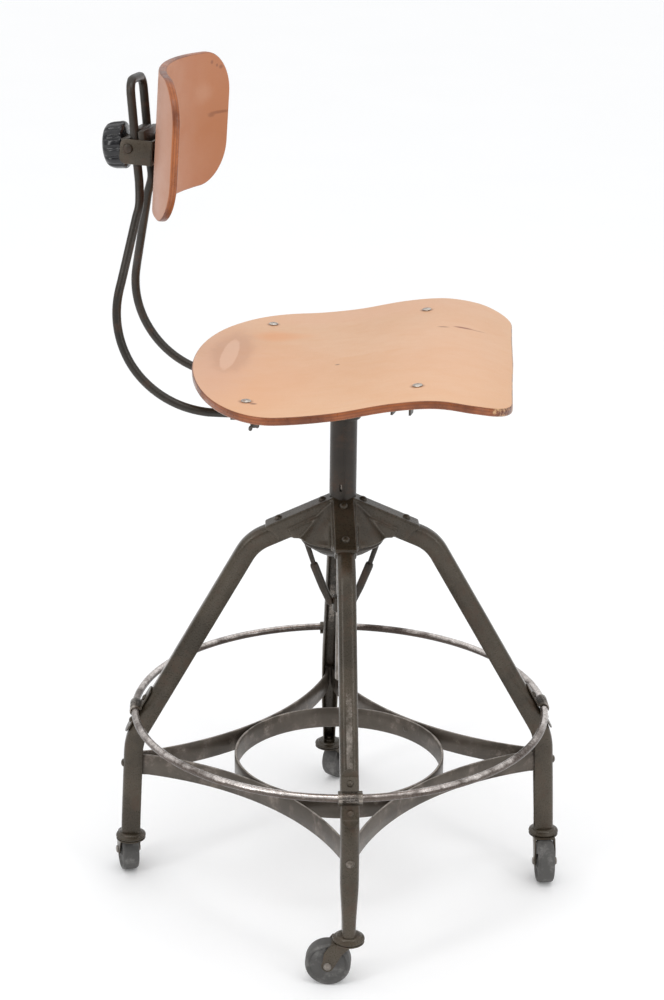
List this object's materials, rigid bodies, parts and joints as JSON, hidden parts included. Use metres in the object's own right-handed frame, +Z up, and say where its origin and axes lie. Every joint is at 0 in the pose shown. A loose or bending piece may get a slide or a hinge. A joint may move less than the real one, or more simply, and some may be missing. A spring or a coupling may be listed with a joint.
{
  "type": "drafting chair",
  "caption": "Drafting chair with a bent plywood seat and back, channel-steel legs on swivel casters and a round foot ring.",
  "frame": {"origin": "centre of the footprint on the floor", "axes": "+X is the front of the chair, +Y is the sitter's left, +Z is up"},
  "size_m": [0.5257, 0.5465, 0.9582],
  "materials": {
    "gunmetal_paint": "dark gunmetal paint, rubbed through to steel on the edges",
    "dark_steel": "dull blackened steel",
    "worn_steel": "worn bare steel, browned",
    "bright_steel": "plain steel",
    "seat_ply": "worn varnished plywood",
    "back_ply": "varnished plywood",
    "bakelite": "glossy black moulding",
    "caster_tread": "hard dark composition tread"
  },
  "bodies": {
    "base": {"hub_cover": "gunmetal_paint", "hub_plate": "dark_steel", "column_tube": "gunmetal_paint", "column_collar": "dark_steel", "lower_guide": "dark_steel", "foot_ring": "worn_steel", "stretcher_hoop": "gunmetal_paint", "stay_front": "dark_steel", "stay_rear": "dark_steel", "leg_front": "gunmetal_paint", "leg_left": "gunmetal_paint", "leg_rear": "gunmetal_paint", "leg_right": "gunmetal_paint", "ring_clip_front": "worn_steel", "ring_clip_left": "worn_steel", "ring_clip_rear": "worn_steel", "ring_clip_right": "worn_steel", "stretcher_front_left": "gunmetal_paint", "stretcher_left_rear": "gunmetal_paint", "stretcher_rear_right": "gunmetal_paint", "stretcher_right_front": "gunmetal_paint", "caster_cup_front": "gunmetal_paint", "caster_cup_left": "gunmetal_paint", "caster_cup_rear": "gunmetal_paint", "caster_cup_right": "gunmetal_paint"},
    "height_lock": {"lock_screw": "worn_steel"},
    "lift": {"spindle": "worn_steel"},
    "seat": {"swivel_socket": "dark_steel", "seat_carrier": "dark_steel", "seat_iron_front": "dark_steel", "seat_iron_rear": "dark_steel", "seat_panel": "seat_ply", "seat_bolt_rear_right": "bright_steel", "seat_bolt_rear_left": "bright_steel", "seat_bolt_front_right": "bright_steel", "seat_bolt_front_left": "bright_steel", "rod_sleeve_left": "dark_steel", "rod_sleeve_right": "dark_steel"},
    "reach_lock_left": {"thumb_screw_left": "worn_steel"},
    "reach_lock_right": {"thumb_screw_right": "worn_steel"},
    "rod": {"back_rod": "gunmetal_paint"},
    "clamp": {"clamp_block": "dark_steel", "clamp_jaw": "dark_steel"},
    "knob": {"clamp_knob": "bakelite", "knob_stud": "bright_steel"},
    "back": {"back_bracket": "dark_steel", "back_panel": "back_ply"},
    "caster_front": {"caster_fork_front": "gunmetal_paint", "caster_axle_front": "worn_steel"},
    "wheel_front": {"caster_wheel_front": "caster_tread"},
    "caster_left": {"caster_fork_left": "gunmetal_paint", "caster_axle_left": "worn_steel"},
    "wheel_left": {"caster_wheel_left": "caster_tread"},
    "caster_rear": {"caster_fork_rear": "gunmetal_paint", "caster_axle_rear": "worn_steel"},
    "wheel_rear": {"caster_wheel_rear": "caster_tread"},
    "caster_right": {"caster_fork_right": "gunmetal_paint", "caster_axle_right": "worn_steel"},
    "wheel_right": {"caster_wheel_right": "caster_tread"}
  },
  "joints": [
    {"name": "height_lock_turn", "type": "hinge", "parent": "base", "child": "height_lock", "pos_m": [0.003, -0.0135, 0.57525], "axis": [-0.1149, 0.9934, 0], "range_deg": [0, 360]},
    {"name": "seat_lift", "type": "slide", "parent": "base", "child": "lift", "axis": [0, 0, 1], "range_m": [0, 0.12]},
    {"name": "seat_swivel", "type": "hinge", "parent": "lift", "child": "seat", "pos_m": [0.003, -0.0135, 0.59], "axis": [0, 0, 1], "continuous": true},
    {"name": "back_reach", "type": "slide", "parent": "seat", "child": "rod", "axis": [1, 0, 0], "range_m": [-0.035, 0.012]},
    {"name": "back_height", "type": "slide", "parent": "rod", "child": "clamp", "axis": [-0.0853, 0.0575, 0.9947], "range_m": [-0.02, 0.03]},
    {"name": "knob_turn", "type": "hinge", "parent": "clamp", "child": "knob", "pos_m": [-0.21822, -0.01086, 0.86825], "axis": [-0.9911, 0.0972, -0.0906], "range_deg": [0, 360]},
    {"name": "back_tilt", "type": "hinge", "parent": "clamp", "child": "back", "pos_m": [-0.22467, -0.01023, 0.86766], "axis": [0.1019, 0.9936, -0.0486], "range_deg": [-10, 5]},
    {"name": "reach_lock_left_turn", "type": "hinge", "parent": "seat", "child": "reach_lock_left", "pos_m": [-0.09, 0.0585, 0.5922], "axis": [0, 0, -1], "range_deg": [0, 360]},
    {"name": "reach_lock_right_turn", "type": "hinge", "parent": "seat", "child": "reach_lock_right", "pos_m": [-0.09, -0.0855, 0.5922], "axis": [0, 0, -1], "range_deg": [0, 360]},
    {"name": "caster_swivel_front", "type": "hinge", "parent": "base", "child": "caster_front", "pos_m": [0.24568, 0.01458, 0.06], "axis": [0, 0, 1], "continuous": true},
    {"name": "wheel_spin_front", "type": "hinge", "parent": "caster_front", "child": "wheel_front", "pos_m": [0.24798, -0.0073, 0.025], "axis": [-0.9945, -0.1045, 0], "continuous": true},
    {"name": "caster_swivel_left", "type": "hinge", "parent": "base", "child": "caster_left", "pos_m": [-0.02508, 0.22918, 0.06], "axis": [0, 0, 1], "continuous": true},
    {"name": "wheel_spin_left", "type": "hinge", "parent": "caster_left", "child": "wheel_left", "pos_m": [-0.01365, 0.24798, 0.025], "axis": [0.8545, -0.5195, 0], "continuous": true},
    {"name": "caster_swivel_rear", "type": "hinge", "parent": "base", "child": "caster_rear", "pos_m": [-0.23968, -0.04158, 0.06], "axis": [0, 0, 1], "continuous": true},
    {"name": "wheel_spin_rear", "type": "hinge", "parent": "caster_rear", "child": "wheel_rear", "pos_m": [-0.24648, -0.02066, 0.025], "axis": [0.9511, 0.309, 0], "continuous": true},
    {"name": "caster_swivel_right", "type": "hinge", "parent": "base", "child": "caster_right", "pos_m": [0.03108, -0.25618, 0.06], "axis": [0, 0, 1], "continuous": true},
    {"name": "wheel_spin_right", "type": "hinge", "parent": "caster_right", "child": "wheel_right", "pos_m": [0.00908, -0.25633, 0.025], "axis": [-0.007, 1, 0], "continuous": true}
  ]
}
